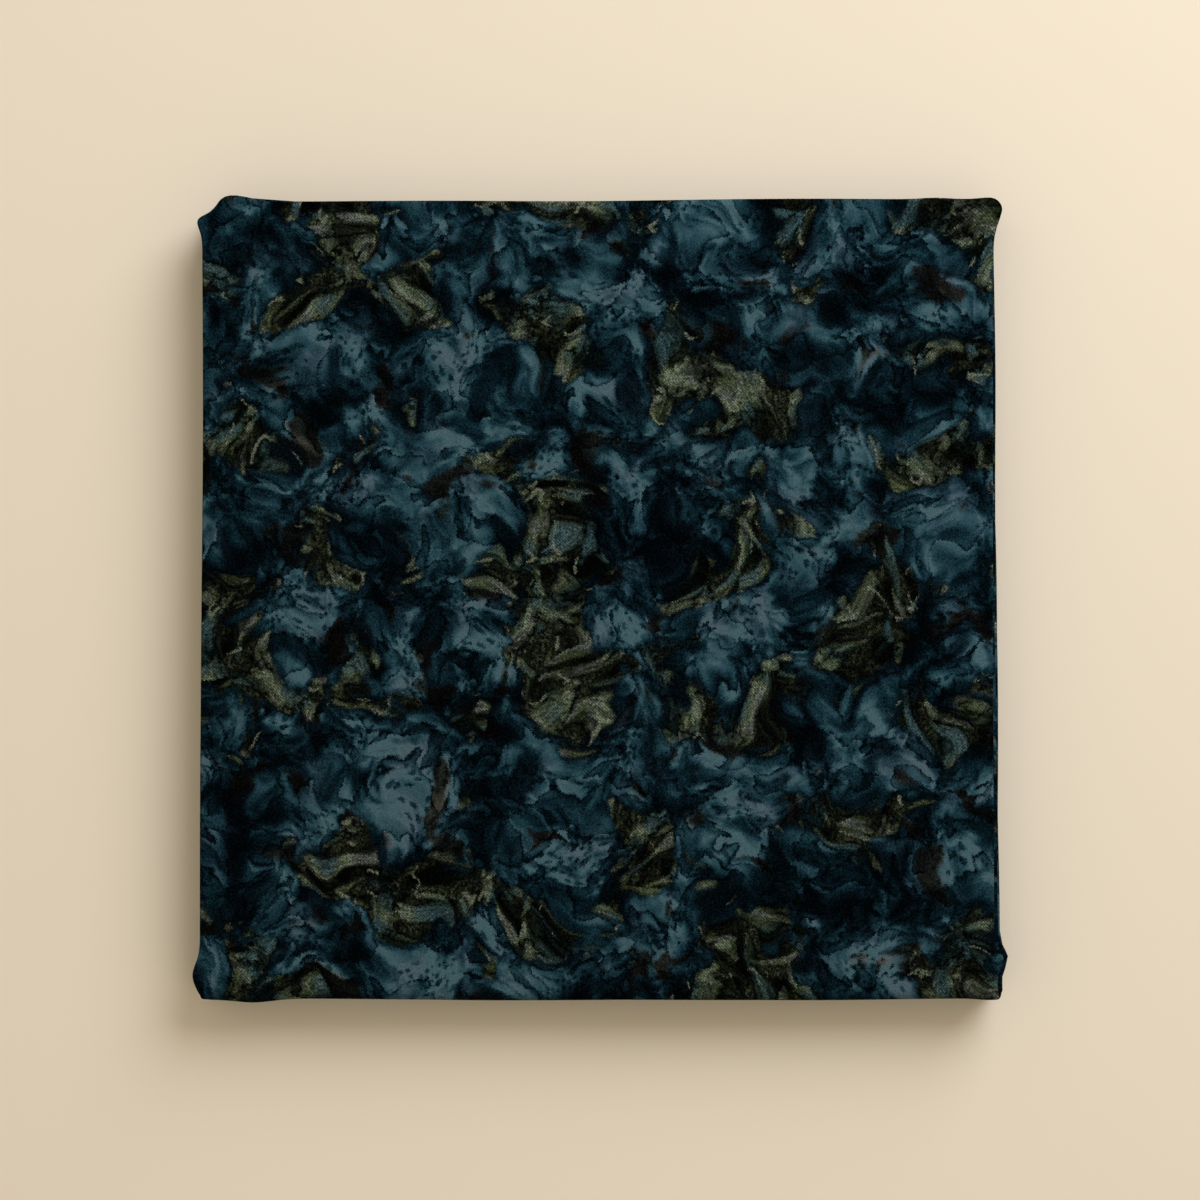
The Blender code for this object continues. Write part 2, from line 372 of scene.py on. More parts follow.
# Splits a line of points where their names change. A fold keeps the steps that lead into and out of it.
# Says for each step which stretch it is in, and where it begins and ends in it by length and by count.
def stretchesOf(names, places):
    steps = [second if "fold" in second.lower() else first for first, second in zip(names, names[1:])]
    changes = [first != second for first, second in zip(steps, steps[1:])]
    numbers = np.concatenate([[0], np.cumsum(changes)]).astype(int)
    byLength, byCount = [], []
    for number in range(numbers[-1] + 1):
        own = np.flatnonzero(numbers == number)
        ends = places[own[0]:own[-1] + 2]
        for shares, points in ((byLength, ends), (byCount, np.arange(len(ends)))):
            share = (points - points[0]) / (points[-1] - points[0])
            shares.append(np.stack([share[:-1], share[1:]], axis=-1))
    return numbers, np.concatenate(byLength), np.concatenate(byCount)


# How the cloth's stretches share one square picture, in shares of its side.
pictureMap = {
    "low": 0.004,
    "high": 0.996,
    "gap": 0.0017,
    "topSide": 0.772,
    "foldHeight": 0.0163,
    "wideFoldHeight": 0.0254,
    "rimFoldHeight": 0.020,
    # the stretches round the ply that can be seen, by their number, and the width of those at the rims
    "under": 0,
    "over": 2,
    "rims": ((1, 0.0085), (3, 0.0042), (15, 0.0018), (7, 0.0018)),
    "rimGap": 0.6,                 # of the other gaps
    "hiddenColumns": 56,
    "hiddenUsed": 0.9,
    "cutEnds": (0.9905, 0.9940),
    "cutEndHeight": 0.002,
}


# The share of the picture that each stretch of cloth gets: left, low, right, high.
# The top has most of it, then the folded rims, then the underside. What is hidden shares the rest.
def picturePlaces(piece, picture, ringStretches, bandStretches):
    low, high, gap, topSide = picture["low"], picture["high"], picture["gap"], picture["topSide"]
    under, over = picture["under"], picture["over"]
    places = np.zeros((ringStretches, bandStretches, 4))
    inView = np.zeros((ringStretches, bandStretches), bool)
    edge = low + topSide
    levels = [panel["level"] for panel in rowsOf(piece, "panels")]
    top = levels.index(piece["levels"] - 1)

    def give(ringStretch, bandStretch, *place):
        places[ringStretch, bandStretch] = place
        inView[ringStretch, bandStretch] = True

    give(over, 2 * top, low, low, edge, edge)
    give(under, 0, edge + gap * 3, edge + gap * 3, high, high)
    bottom = edge + gap * 2
    for fold in range(len(levels) - 1):
        facesOut = over if fold % 2 or fold == top else under
        isWide = abs(levels[fold + 1] - levels[fold]) > 1
        upper = bottom + picture["wideFoldHeight" if isWide else "foldHeight"]
        give(facesOut, 2 * fold + 1, low, bottom, edge, upper)
        bottom = upper + gap
    hiddenLow = bottom + gap
    left = edge + gap * 3
    rimTop = edge - picture["rimFoldHeight"]
    for panel in range(len(levels)):
        for rim, width in picture["rims"]:
            give(rim, 2 * panel, left, low, left + width, rimTop)
            if panel < len(levels) - 1:
                give(rim, 2 * panel + 1, left, rimTop, left + width, edge)
            left += width + gap * picture["rimGap"]
    hidden = np.argwhere(~inView)
    columns, used = picture["hiddenColumns"], picture["hiddenUsed"]
    rows = math.ceil(len(hidden) / columns)
    cellWide, cellHigh = topSide / columns, (high - 4 * gap - hiddenLow) / rows
    for spot, (ringStretch, bandStretch) in enumerate(hidden):
        column, row = spot % columns, spot // columns
        places[ringStretch, bandStretch] = (
            low + column * cellWide, hiddenLow + row * cellHigh,
            low + (column + used) * cellWide, hiddenLow + (row + used) * cellHigh)
    return places, inView


# A second map that gives every face its own place in one square picture, for keeping the colours in one.
def layPictureMap(mesh, piece, picture, path, section, ring):
    inner = ["hidden " + name for name in section["stretch"][::-1]]
    ringSteps = stretchesOf(section["stretch"], section["flat"])
    backSteps = stretchesOf(inner, -section["flat"][::-1])
    edgeStep = np.array([[0.0, 1.0]])
    sides = len(set(ringSteps[0]))
    ringNumbers = np.concatenate([ringSteps[0], [sides], backSteps[0] + sides + 1, [2 * sides + 1]])
    ringShares = [np.concatenate([ringSteps[kind], edgeStep, backSteps[kind], edgeStep]) for kind in (1, 2)]
    bandNames = [f"{kind} {number}" for kind, number in path["stretch"]]
    bandNumbers, *bandShares = stretchesOf(bandNames, path["length"])
    places, inView = picturePlaces(piece, picture, 2 * sides + 2, bandNumbers[-1] + 1)

    place = places[ringNumbers[None, :], bandNumbers[:, None]][:, :, None, :]
    seen = inView[ringNumbers[None, :], bandNumbers[:, None]][:, :, None]
    # by length where it can be seen and by count where it can't, at each face's four corners
    along = np.where(seen, *[shares[None, :, [0, 0, 1, 1]] for shares in ringShares])
    up = np.where(seen, *[shares[:, None, [0, 1, 1, 0]] for shares in bandShares])
    walls = np.stack([place[..., 0] + (place[..., 2] - place[..., 0]) * along,
                      place[..., 1] + (place[..., 3] - place[..., 1]) * up], axis=-1)

    share = np.linspace(picture["low"], picture["low"] + picture["topSide"], ring // 2)
    cap = np.stack([share[:-1], share[1:], share[1:], share[:-1]], axis=-1)
    ends = []
    for bottom in picture["cutEnds"]:
        upper = bottom + picture["cutEndHeight"]
        height = np.broadcast_to([bottom, bottom, upper, upper], cap.shape)
        ends.append(np.stack([cap, height], axis=-1))
    ends[1] = ends[1][:, ::-1]
    spots = np.concatenate([walls.reshape(-1, 2), *[end.reshape(-1, 2) for end in ends]])
    layer = mesh.uv_layers.new(name="OFBake")
    layer.uv.foreach_set("vector", spots.astype(np.float32).ravel())
    mesh.uv_layers["flatCloth"].active = True
    mesh.uv_layers["flatCloth"].active_render = True


cloth, flatSize = buildCloth(foldedCloth)
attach(cloth, "root")
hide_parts("folded_cloth")


# how the nodes are set out in a tree: columns of so many, and the steps right and down
nodesInColumn, nodeRight, nodeDown = 5, 190, -230


# Adds a node and fills its inputs: a socket is linked, anything else is set on the input itself.
def addNode(tree, kind, inputs=None, **settings):
    node = tree.nodes.new(kind)
    column, row = divmod(len(tree.nodes), nodesInColumn)
    node.location = (nodeRight * column, nodeDown * row)
    for name, value in settings.items():
        setattr(node, name, value)
    for name, value in (inputs or {}).items():
        if isinstance(value, bpy.types.NodeSocket):
            tree.links.new(value, node.inputs[name])
        else:
            node.inputs[name].default_value = value
    return node


def maths(tree, operation, *values, clamp=False):
    inputs = dict(enumerate(values))
    return addNode(tree, "ShaderNodeMath", inputs, operation=operation, use_clamp=clamp).outputs[0]


# The product of two or more values.
def times(tree, *values):
    result = values[0]
    for value in values[1:]:
        result = maths(tree, "MULTIPLY", result, value)
    return result


# A value times a factor, plus a shift.
def tuned(tree, value, factor, shift):
    return maths(tree, "MULTIPLY_ADD", value, factor, shift)


# The sum of values, each with its share.
def blended(tree, *pairs):
    result = times(tree, *pairs[0])
    for value, share in pairs[1:]:
        result = tuned(tree, value, share, result)
    return result


def flipped(tree, mask):
    return maths(tree, "SUBTRACT", 1.0, mask)


# 1 where the mask is 0, less by this share where it is 1.
def loweredBy(tree, mask, share):
    return tuned(tree, mask, -share, 1.0)


def vectorOf(tree, x, y):
    return addNode(tree, "ShaderNodeCombineXYZ", {0: x, 1: y}).outputs[0]


def moved(tree, place, step):
    return addNode(tree, "ShaderNodeVectorMath", {0: place, 1: step}, operation="ADD").outputs[0]


def scaled(tree, place, factor):
    return addNode(tree, "ShaderNodeVectorMath", {0: place, 3: factor}, operation="SCALE").outputs[0]


# Takes a value from one range to another, softly at both ends.
def remap(tree, value, fromLow, fromHigh, toLow=0.0, toHigh=1.0):
    inputs = {"Value": value, "From Min": fromLow, "From Max": fromHigh, "To Min": toLow, "To Max": toHigh}
    return addNode(tree, "ShaderNodeMapRange", inputs, interpolation_type="SMOOTHSTEP").outputs[0]


def mixColours(tree, share, first, second, blend="MIX"):
    inputs = {0: share, 6: first, 7: second}
    return addNode(tree, "ShaderNodeMix", inputs, data_type="RGBA", blend_type=blend).outputs[2]


# each seed moves a noise, or a whole pattern, this far across the cloth
noiseStep = (531.7, -377.3)
patternStep = (731.3, -417.9)
# a colour's noise lies round a half, a shift round nothing
toMiddle = (-0.5, -0.5, -0.5)


# Soft noise from 0 to 1, with features of about this size. Output 1 is its colour.
def noise(tree, place, size, detail=2.0, roughness=0.5, seed=0, output=0):
    if seed:
        place = moved(tree, place, (seed * noiseStep[0], seed * noiseStep[1], 0))
    inputs = {"Vector": place, "Scale": 1.0 / size, "Detail": detail, "Roughness": roughness}
    return addNode(tree, "ShaderNodeTexNoise", inputs, noise_dimensions="2D").outputs[output]


# Colours along a value: pairs of place and colour.
def ramp(tree, value, stops):
    node = addNode(tree, "ShaderNodeValToRGB", {0: value})
    elements = node.color_ramp.elements
    while len(elements) < len(stops):
        elements.new(1.0)
    for element, (place, colour) in zip(elements, stops):
        element.position = place
        element.color = (*colour, 1.0)
    return node.outputs[0]


# A new node group. Its inputs are the place, Vector, and these others with their values.
def startGroup(name, inputs, outputs):
    group = bpy.data.node_groups.new(name, "ShaderNodeTree")
    kinds = {"Vector": "NodeSocketVector"}
    for socketName, value in ({"Vector": (0.0, 0.0, 0.0)} | inputs).items():
        kind = kinds.get(socketName, "NodeSocketFloat")
        group.interface.new_socket(socketName, in_out="INPUT", socket_type=kind).default_value = value
    for socketName in outputs:
        kind = kinds.get(socketName, "NodeSocketFloat")
        group.interface.new_socket(socketName, in_out="OUTPUT", socket_type=kind)
    return group, group.nodes.new("NodeGroupInput").outputs


def endGroup(group, results):
    addNode(group, "NodeGroupOutput", results)
    return group


def useGroup(tree, group, inputs):
    return addNode(tree, "ShaderNodeGroup", inputs, node_tree=group).outputs


# Puts a pattern elsewhere on its plane for each seed, and divides it by its size.
def patternPlace(group, given):
    step = vectorOf(group, *[times(group, given["Seed"], shift) for shift in patternStep])
    return scaled(group, moved(group, given["Vector"], step), maths(group, "DIVIDE", 1.0, given["Size"]))


# Each crossing of two threads takes up the dye a little beside its own place, so that edges bleed.
def buildDyeBleed():
    group, given = startGroup("dyeBleed", {"Thread": 0.363, "Bleed": 0.38}, ("Vector", "Chance"))
    crossing = scaled(group, given["Vector"], maths(group, "DIVIDE", 1.0, given["Thread"]))
    crossing = addNode(group, "ShaderNodeVectorMath", {0: crossing}, operation="FLOOR").outputs[0]
    chance = addNode(group, "ShaderNodeTexWhiteNoise", {"Vector": crossing}, noise_dimensions="2D").outputs
    step = scaled(group, moved(group, chance["Color"], toMiddle), times(group, given["Bleed"], 2.0))
    return endGroup(group, {"Vector": moved(group, given["Vector"], step), "Chance": chance["Value"]})


# Dye that has run: shifts a place by up to about the drift. All sizes here are in millimetres.
def buildDyeDrift():
    noiseToDrift = 4.0    # the noise strays from its middle by about a quarter
    group, given = startGroup("dyeDrift", {"Size": 30.0, "Drift": 5.0, "Seed": 0.0}, ("Vector",))
    shift = moved(group, noise(group, patternPlace(group, given), 1.0, detail=1.0, output=1), toMiddle)
    shift = scaled(group, shift, times(group, given["Drift"], noiseToDrift))
    return endGroup(group, {"Vector": moved(group, given["Vector"], shift)})


# Washes that end at an ink line: pale just inside it, darker towards it from outside. 1 is unchanged.
def buildInkShores():
    group, given = startGroup("inkShores", {"Size": 17.0, "Seed": 0.0}, ("Light",))
    level = noise(group, patternPlace(group, given), 1.0, detail=2.5, roughness=0.55)
    shades = ((0.36, 1.00), (0.45, 0.80), (0.486, 0.45), (0.494, 0.12), (0.503, 0.12), (0.511, 1.30),
              (0.56, 1.08), (0.66, 0.95))
    light = ramp(group, level, [(place, (shade, shade, shade)) for place, shade in shades])
    return endGroup(group, {"Light": light})


# The light and dark sides of crushed folds, as the dye settles in them: 0.5 is level.
def buildCrushedFolds():
    lightFrom = (0.62, 0.78)
    inputs = {"Size": 21.0, "Step": 0.9, "Gain": 1.0, "Seed": 0.0}
    group, given = startGroup("crushedFolds", inputs, ("Light", "Crest"))
    place = patternPlace(group, given)
    step = maths(group, "DIVIDE", given["Step"], given["Size"])
    beside = moved(group, place, scaled(group, vectorOf(group, *lightFrom), step))
    crests = []
    for spot in (place, beside):
        height = tuned(group, noise(group, spot, 1.0), 2.0, -1.0)
        crests.append(maths(group, "ABSOLUTE", height))
    slope = maths(group, "DIVIDE", maths(group, "SUBTRACT", crests[1], crests[0]), step)
    light = maths(group, "MULTIPLY_ADD", slope, given["Gain"], 0.5, clamp=True)
    return endGroup(group, {"Light": light, "Crest": flipped(group, crests[0])})


# Round spots of resist, one in each cell, some left out.
def buildDyeDots():
    unevenRadius = (0.8, 0.6)     # swing and least share of the radius
    softEdge = (0.7, 1.25)        # from full to none, in radii
    inputs = {"Size": 2.6, "Radius": 0.84, "Share": 0.7, "Seed": 0.0}
    group, given = startGroup("dyeDots", inputs, ("Dot",))
    cells = addNode(group, "ShaderNodeTexVoronoi", {"Vector": patternPlace(group, given), "Scale": 1.0},
                    voronoi_dimensions="2D")
    chance = addNode(group, "ShaderNodeSeparateColor", {0: cells.outputs["Color"]}).outputs
    distance = times(group, cells.outputs["Distance"], given["Size"])
    radius = times(group, given["Radius"], tuned(group, chance[1], *unevenRadius))
    dot = flipped(group, remap(group, maths(group, "DIVIDE", distance, radius), *softEdge))
    kept = maths(group, "LESS_THAN", chance[0], given["Share"])
    return endGroup(group, {"Dot": times(group, dot, kept)})


leafShapes = {
    "leanSize": 4.0,                      # over how many pieces the lean changes
    "lean": 12.0,                         # the most lean, in radians
    "apart": 97.0,                        # sets the pieces apart in the noise that shapes them
    "streaks": (0.32, 0.68, 0.30, 1.0),
    "nestedLines": (0.25, 0.95, 1.0, 0.22),
    "bladeBend": 0.018,
    "bladeEdge": (-0.01, 0.025),
    "bladeRim": (0.0, 0.055),
    "bladeGlow": (0.0, 0.18),
    "bladeLines": 0.072,                  # how far the nested lines lie apart
    "bladeStreak": (16.0, 0.85),          # length and width in mm
    "petalBow": (2.4, -0.9),
    "petalTaper": 0.55,
    "petalRagged": (1.3, -0.65),
    "petalRaggedSize": 2.6,
    "petalEdge": (0.93, 1.02),
    "petalRim": (0.04, 0.25),
    "petalGlow": (0.15, 1.0),
    "petalLines": 0.34,
}


# Where each torn piece lies: its place seen from its own middle and along its own length, and its chances.
def buildTornPieces(shapes):
    inputs = {"Size": 18.0, "Fan": 1.2, "Seed": 0.0}
    group, given = startGroup("tornPieces", inputs, ("Along", "Across", "Chance", "Tint"))
    place = patternPlace(group, given)
    cells = addNode(group, "ShaderNodeTexVoronoi", {"Vector": place, "Scale": 1.0},
                    voronoi_dimensions="2D").outputs
    chance = addNode(group, "ShaderNodeSeparateColor", {0: cells["Color"]}).outputs
    local = addNode(group, "ShaderNodeVectorMath", {0: place, 1: cells["Position"]},
                    operation="SUBTRACT").outputs[0]
    lean = noise(group, cells["Position"], shapes["leanSize"], detail=0.0)
    turn = maths(group, "ADD", times(group, lean, shapes["lean"]),
                 times(group, chance[0], given["Fan"]))
    turned = {"Vector": scaled(group, local, given["Size"]), "Angle": turn}
    turned = addNode(group, "ShaderNodeVectorRotate", turned, rotation_type="Z_AXIS").outputs[0]
    turned = addNode(group, "ShaderNodeSeparateXYZ", {0: turned}).outputs
    return endGroup(group, {"Along": turned[0], "Across": turned[1], "Chance": chance[1], "Tint": chance[2]})


# Dark lines one inside the other, this far apart along a value that rises inwards from the rim.
def nestedLines(group, inward, apart, shading):
    turn = times(group, inward, math.tau / apart)
    return remap(group, maths(group, "COSINE", turn), *shading)


# Bundles of blades side by side: their mask, their dark rims, and fine streaks along them.
def buildBladeBundles(shapes, tornPieces):
    inputs = {"Size": 30.0, "Length": 26.0, "Width": 6.4, "Cover": 0.5, "Fan": 1.2, "Seed": 0.0}
    group, given = startGroup("bladeBundles", inputs, ("Blade", "Rim", "Streak", "Glow", "Tint"))
    pieces = useGroup(group, tornPieces, {name: given[name] for name in ("Vector", "Size", "Fan", "Seed")})
    along = pieces["Along"]
    bend = times(group, times(group, along, along), shapes["bladeBend"])
    across = maths(group, "ADD", pieces["Across"], bend)
    apart = times(group, pieces["Tint"], shapes["apart"])

    def spotOf(length, width):
        return vectorOf(group, maths(group, "ADD", maths(group, "DIVIDE", along, length), apart),
                        maths(group, "DIVIDE", across, width))

    shape = noise(group, spotOf(given["Length"], given["Width"]), 1.0, detail=1.0, roughness=0.4)
    above = maths(group, "SUBTRACT", shape, flipped(group, given["Cover"]))
    streak = remap(group, noise(group, spotOf(*shapes["bladeStreak"]), 1.0, detail=1.0), *shapes["streaks"])
    lines = nestedLines(group, above, shapes["bladeLines"], shapes["nestedLines"])
    return endGroup(group, {
        "Blade": remap(group, above, *shapes["bladeEdge"]),
        "Rim": flipped(group, remap(group, maths(group, "ABSOLUTE", above), *shapes["bladeRim"])),
        "Streak": times(group, streak, lines),
        "Glow": remap(group, above, *shapes["bladeGlow"]),
        "Tint": pieces["Tint"]})


# Single petals with a soft wavy rim, paler in the middle, with a few veins.
def buildLoosePetals(shapes, tornPieces):
    inputs = {"Size": 14.0, "Length": 6.0, "Width": 2.2, "Share": 0.6, "Fan": 2.5, "Seed": 0.0}
    group, given = startGroup("loosePetals", inputs, ("Petal", "Rim", "Streak", "Glow", "Tint"))
    pieces = useGroup(group, tornPieces, {name: given[name] for name in ("Vector", "Size", "Fan", "Seed")})
    along = maths(group, "DIVIDE", pieces["Along"], given["Length"])
    bend = tuned(group, pieces["Chance"], *shapes["petalBow"])
    bowed = tuned(group, times(group, along, along), bend, pieces["Across"])
    taper = tuned(group, along, shapes["petalTaper"], 1.0)
    across = maths(group, "DIVIDE", bowed, times(group, given["Width"], taper))
    reach = addNode(group, "ShaderNodeVectorMath", {0: vectorOf(group, along, across)},
                    operation="LENGTH").outputs["Value"]
    ragged = noise(group, given["Vector"], shapes["petalRaggedSize"], detail=1.0, seed=4)
    reach = maths(group, "ADD", reach, tuned(group, ragged, *shapes["petalRagged"]))
    kept = maths(group, "LESS_THAN", pieces["Chance"], given["Share"])
    fromRim = maths(group, "ABSOLUTE", maths(group, "SUBTRACT", reach, 1.0))
    veins = remap(group, noise(group, vectorOf(group, along, bowed), 1.0, detail=1.0), *shapes["streaks"])
    lines = nestedLines(group, flipped(group, reach), shapes["petalLines"], shapes["nestedLines"])
    return endGroup(group, {
        "Petal": times(group, flipped(group, remap(group, reach, *shapes["petalEdge"])), kept),
        "Rim": times(group, flipped(group, remap(group, fromRim, *shapes["petalRim"])), kept),
        "Streak": times(group, veins, lines),
        "Glow": flipped(group, remap(group, reach, *shapes["petalGlow"])),
        "Tint": pieces["Tint"]})


twill = {
    "ribThreads": 3.0,             # threads from one rib to the next
    "threadShare": 0.35,
    "ribShare": 0.65,
    "slubSize": 2.1,               # of the uneven places in the yarn, in threads
    "slubShade": (4.4, -1.2),
}


# A twill: floats of both threads that step aside at each pick, so that slanting ribs stand up.
def buildTwillWeave(values):
    group, given = startGroup("twillWeave", {"Thread": 0.363}, ("Height", "Shade", "Slub"))
    place = scaled(group, given["Vector"], maths(group, "DIVIDE", 1.0, given["Thread"]))
    axes = addNode(group, "ShaderNodeSeparateXYZ", {0: place}).outputs
    slant = maths(group, "DIVIDE", maths(group, "ADD", axes[0], axes[1]), values["ribThreads"])
    rib = maths(group, "COSINE", times(group, slant, math.tau))
    rib = tuned(group, rib, 0.5, 0.5)
    warp, weft = [maths(group, "ABSOLUTE", maths(group, "SINE", times(group, axis, math.pi)))
                  for axis in (axes[0], axes[1])]
    threads = maths(group, "ADD", times(group, warp, rib),
                    times(group, weft, flipped(group, rib)))
    slub = noise(group, place, values["slubSize"], detail=1.0, roughness=0.6)
    height = blended(group, (threads, values["threadShare"]), (rib, values["ribShare"]))
    # Shade: painted shade of the ribs, lighter where the threads stand higher, times the yarn's uneven tone
    shade = times(group, height, tuned(group, slub, *values["slubShade"]))
    return endGroup(group, {"Height": height, "Shade": shade, "Slub": slub})


mottledCotton = {
    "drifts": ({"Size": 30.0, "Drift": 5.0, "Seed": 1.0}, {"Size": 9.0, "Drift": 1.8, "Seed": 2.0}),
    "bleed": 0.38,
    # the brown-black ground: its noise, and where in it the ground, its ink, the leaves and the wax lie
    "zone": {"size": 36.0, "detail": 3.0, "seed": 7},
    "zoneEdges": {"ground": (0.582, 0.618), "ink": (0.50, 0.57, 1.0, 0.30),
                  "leaves": (0.550, 0.575), "wax": (0.53, 0.56)},
    # soft patches of dye: the noise of each in mm, and the range that is taken from it
    "patches": {
        "calm": ({"size": 32.0, "detail": 1.0, "seed": 33}, (0.49, 0.62)),
        "busy": ({"size": 26.0, "detail": 1.0, "seed": 31}, (0.44, 0.60, 0.15, 1.0)),
        "glow": ({"size": 30.0, "detail": 1.0}, (0.33, 0.66)),
        "clouds": ({"size": 10.0, "roughness": 0.55, "seed": 2}, (0.30, 0.72)),
        "pools": ({"size": 17.0, "seed": 19}, (0.34, 0.50, 0.30, 1.0)),
        "blots": ({"size": 4.5, "seed": 25}, (0.40, 0.60, -0.45, 0.12)),
        "blotZone": ({"size": 22.0, "detail": 0.0, "seed": 27}, (0.42, 0.56)),
        "dotZone": ({"size": 22.0, "detail": 1.0, "seed": 13}, (0.50, 0.57)),
        "rusty": ({"size": 17.0, "seed": 37}, (0.62, 0.70)),
        "dusky": ({"size": 16.0, "detail": 1.0, "seed": 29}, (0.53, 0.68, 0.0, 0.9)),
        "specks": ({"size": 1.1, "roughness": 0.7, "seed": 9}, (0.30, 0.70)),
        "ground": ({"size": 9.0, "seed": 11}, (0.35, 0.68)),
        "waxPieces": ({"size": 7.0, "detail": 0.0, "seed": 23}, (0.58, 0.66)),
    },
    # how much each adds to the light of a wash, and what calm takes from it
    "cloudShare": 0.42,
    "glowShare": 0.65,
    "calmShare": 0.20,
    "calmedDetail": 0.80,
    "calmedFolds": 0.40,
    "folds": ({"Size": 21.0, "Step": 1.3, "Gain": 0.22, "Seed": 1.0},
              {"Size": 9.0, "Step": 0.9, "Gain": 0.15, "Seed": 2.0}),
    "foldShares": (0.6, 0.4),
    "foldLight": (0.20, 0.80, -0.55, 0.45),
    "shores": {"Size": 17.0, "Seed": 4.0},
    "ripples": {"Size": 6.5, "Seed": 5.0},
    "rippleShare": 0.45,
    "dots": {"Size": 2.6, "Radius": 0.84, "Seed": 8.0},
    "dotLight": (-0.75, 0.20),
    "rustLight": (-0.56, 0.90),
    # from the deepest ink to the palest wash
    "blues": ((0.00, (0.0003, 0.0009, 0.0015)), (0.09, (0.0010, 0.0034, 0.0053)),
              (0.21, (0.0021, 0.0084, 0.0131)), (0.35, (0.0046, 0.0187, 0.0278)),
              (0.50, (0.0098, 0.0338, 0.0480)), (0.68, (0.0206, 0.0590, 0.0795)),
              (1.00, (0.0500, 0.1060, 0.1290))),
    "earths": ((0.00, (0.0007, 0.0008, 0.0006)), (0.30, (0.0038, 0.0048, 0.0029)),
               (0.65, (0.0117, 0.0150, 0.0088)), (1.00, (0.0375, 0.0470, 0.0280))),
    # some blues lean to violet and a few to rust by this much
    "dusk": (1.25, 0.97, 1.01, 1.0),
    "rust": (2.35, 0.80, 0.48, 1.0),
    "bundles": ({"Size": 30.0, "Length": 26.0, "Width": 6.4, "Cover": 0.48, "Seed": 5.0},),
    "petals": ({"Size": 14.0, "Length": 6.0, "Width": 2.2, "Share": 0.36, "Seed": 6.0},
               {"Size": 26.0, "Length": 12.0, "Width": 4.6, "Share": 0.60, "Seed": 7.0}),
    "leaves": ((0.00, (0.0270, 0.0600, 0.0720)), (0.38, (0.0440, 0.0760, 0.0740)),
               (0.54, (0.0600, 0.0840, 0.0540)), (0.70, (0.1180, 0.1530, 0.1080)),
               (0.86, (0.0740, 0.0890, 0.0870)), (1.00, (0.0540, 0.0720, 0.0400))),
    "leafDrift": {"size": 15.0, "detail": 1.0, "seed": 21},
    "leafChance": 0.25,
    "leafTone": (0.35, 0.90),
    "leafGlow": (0.75, 0.22),
    "leafStreak": (1.25, 0.15),
    "leafRim": (0.94, 0.96, 0.75, 1.0),    # a leaf turns olive towards its rim
    "rimShare": 0.92,
    "ink": (0.0006, 0.0010, 0.0011, 1.0),
    "wax": {"Size": 30.0, "Seed": 9.0},
    "waxLine": (0.980, 0.994),
    "waxShare": 0.8,
    "waxColour": (0.110, 0.130, 0.095, 1.0),
    "thread": 0.363,
    "grain": 0.24,
    # the ribs' painted shade in the colour: its factor and shift
    "threadShade": (1.1, -0.56),
    "threadsOnPale": (0.25, 0.80, 1.0, 0.25),    # the threads show less on the pale washes
    "darkestThread": 0.15,
    # pale specks of fibre ends: painted sheen of the fuzz
    "fibreSheen": (0.055, 0.10, 0.11, 1.0),
    "fibreSheenReach": (0.56, 0.74),
    "fibreSheenShare": 0.020,
    "ribHeight": 0.00006,
    "ribStrength": 0.5,
    "roughness": 0.86,
    "sheen": 0.04,
    "sheenRoughness": 0.3,
    "gloss": 0.0,
}


